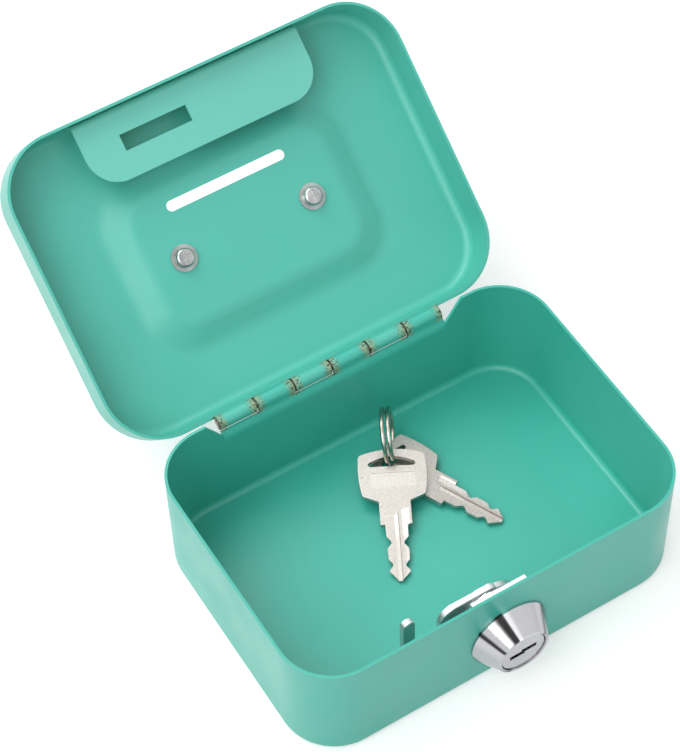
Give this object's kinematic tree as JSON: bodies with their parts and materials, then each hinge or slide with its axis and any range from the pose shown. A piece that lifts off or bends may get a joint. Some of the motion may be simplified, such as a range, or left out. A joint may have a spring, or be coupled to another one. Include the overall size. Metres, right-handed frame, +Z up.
{
  "type": "key-lock steel cash box",
  "caption": "Small key-lock steel box with an open hinged lid, a hook lock, a folding wire handle on the lid, and keys on a split ring inside.",
  "frame": {"origin": "centre of the tray's flat bottom face, on the surface that the box stands on", "axes": "+X along the width, to the right as seen from the lock; +Y from the lock towards the hinge; +Z up"},
  "size_m": [0.125, 0.1804, 0.0874],
  "materials": {
    "teal_paint": "glossy powder coat, worn at the hinge",
    "chrome_plate": "polished chrome plate",
    "zinc_steel": "bright zinc plate",
    "steel_wire": "plain drawn wire",
    "nickel_plate": "nickel plate, lightly scratched",
    "wafer_brass": "bare brass"
  },
  "bodies": {
    "base": {"base_tray": "teal_paint", "hinge_pin": "steel_wire", "lock_barrel": "chrome_plate", "lock_clip": "zinc_steel"},
    "lid": {"lid_shell": "teal_paint", "strike_plate": "teal_paint", "handle_lugs": "chrome_plate", "handle_screws": "zinc_steel", "handle_washers": "zinc_steel"},
    "handle": {"handle_bail": "chrome_plate"},
    "lock_core": {"lock_plug": "chrome_plate", "lock_wafers": "wafer_brass", "wafer_springs": "steel_wire", "turn_stop": "zinc_steel", "cam_hook": "zinc_steel", "cam_washer": "zinc_steel", "cam_nut": "zinc_steel"},
    "keys": {"key_ring": "nickel_plate", "key_top": "nickel_plate", "key_under": "nickel_plate"}
  },
  "joints": [
    {"name": "lid_hinge", "type": "hinge", "parent": "base", "child": "lid", "pos_m": [0, 0.0468, 0.0328], "axis": [1, 0, 0], "range_deg": [0, 142.3]},
    {"name": "handle_swing", "type": "hinge", "parent": "lid", "child": "handle", "pos_m": [0, 0.09233, 0.04739], "axis": [1, 0, 0], "range_deg": [-52.3, 127.7]},
    {"name": "key_turn", "type": "hinge", "parent": "base", "child": "lock_core", "pos_m": [0, -0.044, 0.0175], "axis": [0, 1, 0], "range_deg": [0, 90]},
    {"name": "keys_lift", "type": "slide", "parent": "base", "child": "keys", "axis": [0, 0, 1], "range_m": [0, 0.02]}
  ]
}
